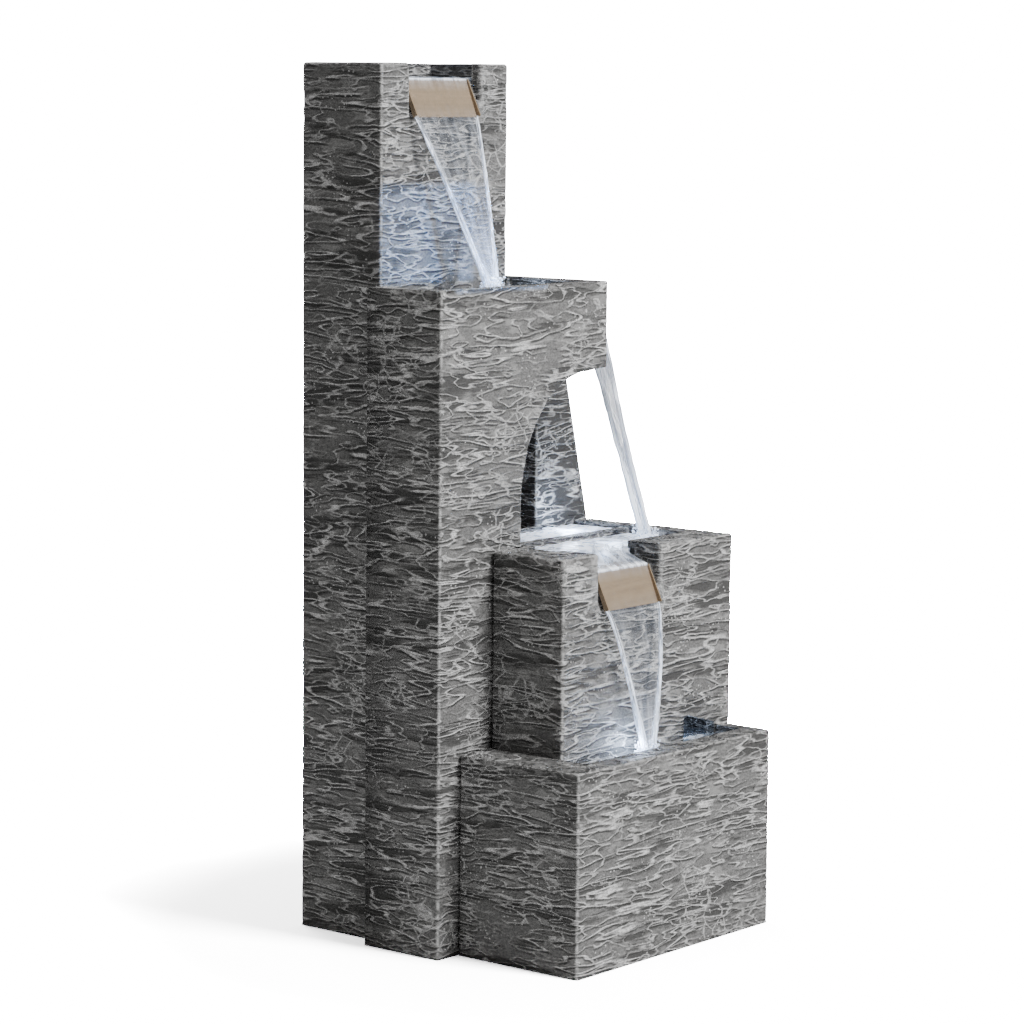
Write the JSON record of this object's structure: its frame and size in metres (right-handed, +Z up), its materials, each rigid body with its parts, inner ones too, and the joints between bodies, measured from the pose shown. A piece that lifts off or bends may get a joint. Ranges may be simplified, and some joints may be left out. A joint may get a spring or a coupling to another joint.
{
  "type": "water fountain",
  "caption": "Three-level cascading fountain in cast stone: tall tower, arched pool and stepped basins, with steel spillways, a pump, a service door and pool lamps.",
  "frame": {"origin": "centre of the footprint on the ground", "axes": "+Z up along the tower, +X to the right along the front faces, +Y from the front basin towards the tower's back"},
  "size_m": [0.41, 0.404, 1],
  "materials": {
    "cast_stone": "matte",
    "stainless": "satin",
    "hose_vinyl": "satin",
    "black_plastic": "matte",
    "grey_plastic": "matte",
    "black_rubber": "matte",
    "ferrite": "satin",
    "white_ceramic": "satin",
    "lamp_lens": "gloss",
    "lamp_board": "matte",
    "water": "gloss"
  },
  "bodies": {
    "root": {"tower_shell": "cast_stone", "arch_pool_shell": "cast_stone", "rear_buttress": "cast_stone", "mid_basin_shell": "cast_stone", "lower_basin_shell": "cast_stone", "upper_spillway_plate": "stainless", "middle_spillway_plate": "stainless", "side_spout": "stainless", "spillway_screws": "stainless", "hose_clamps": "stainless", "riser_hose": "hose_vinyl", "header_fitting": "black_plastic", "header_fitting_nut": "black_plastic", "hose_grommets": "black_rubber", "pump_motor_body": "black_plastic", "pump_volute_cover": "black_plastic", "impeller_shaft": "white_ceramic", "shaft_bushings": "black_rubber", "pump_suction_feet": "black_rubber", "lamp_boards": "lamp_board", "cable_grommet": "black_rubber", "upper_lamp_housing": "black_plastic", "upper_lamp_lens": "lamp_lens", "middle_lamp_housing": "black_plastic", "middle_lamp_lens": "lamp_lens", "lower_lamp_housing": "black_plastic", "lower_lamp_lens": "lamp_lens"},
    "impeller_rotor": {"impeller": "grey_plastic", "rotor_magnet": "ferrite"},
    "intake_grille": {"pump_intake_grille": "black_plastic"},
    "flow_dial": {"flow_dial": "grey_plastic"},
    "access_door": {"access_door": "cast_stone", "door_hinge_pins": "stainless"},
    "door_latch": {"door_latch": "grey_plastic", "latch_cam": "stainless", "cam_screw": "stainless"},
    "drain_plug": {"drain_plug": "black_rubber"}
  },
  "joints": [
    {"name": "impeller_spin", "type": "hinge", "parent": "root", "child": "impeller_rotor", "pos_m": [0, -0.054, 0.056], "axis": [0, 1, 0], "continuous": true},
    {"name": "grille_slide", "type": "slide", "parent": "root", "child": "intake_grille", "axis": [0, -1, 0], "range_m": [0, 0.026]},
    {"name": "flow_dial_turn", "type": "hinge", "parent": "intake_grille", "child": "flow_dial", "pos_m": [0, -0.084, 0.056], "axis": [0, -1, 0], "range_deg": [0, 45]},
    {"name": "access_door_swing", "type": "hinge", "parent": "root", "child": "access_door", "pos_m": [0.2005, -0.07, 0.3025], "axis": [0, 0, -1], "range_deg": [0, 90]},
    {"name": "door_latch_turn", "type": "hinge", "parent": "access_door", "child": "door_latch", "pos_m": [0.205, 0.035, 0.3025], "axis": [-1, 0, 0], "range_deg": [0, 90]},
    {"name": "drain_plug_pull", "type": "slide", "parent": "root", "child": "drain_plug", "axis": [1, 0, 0], "range_m": [0, 0.03]}
  ]
}
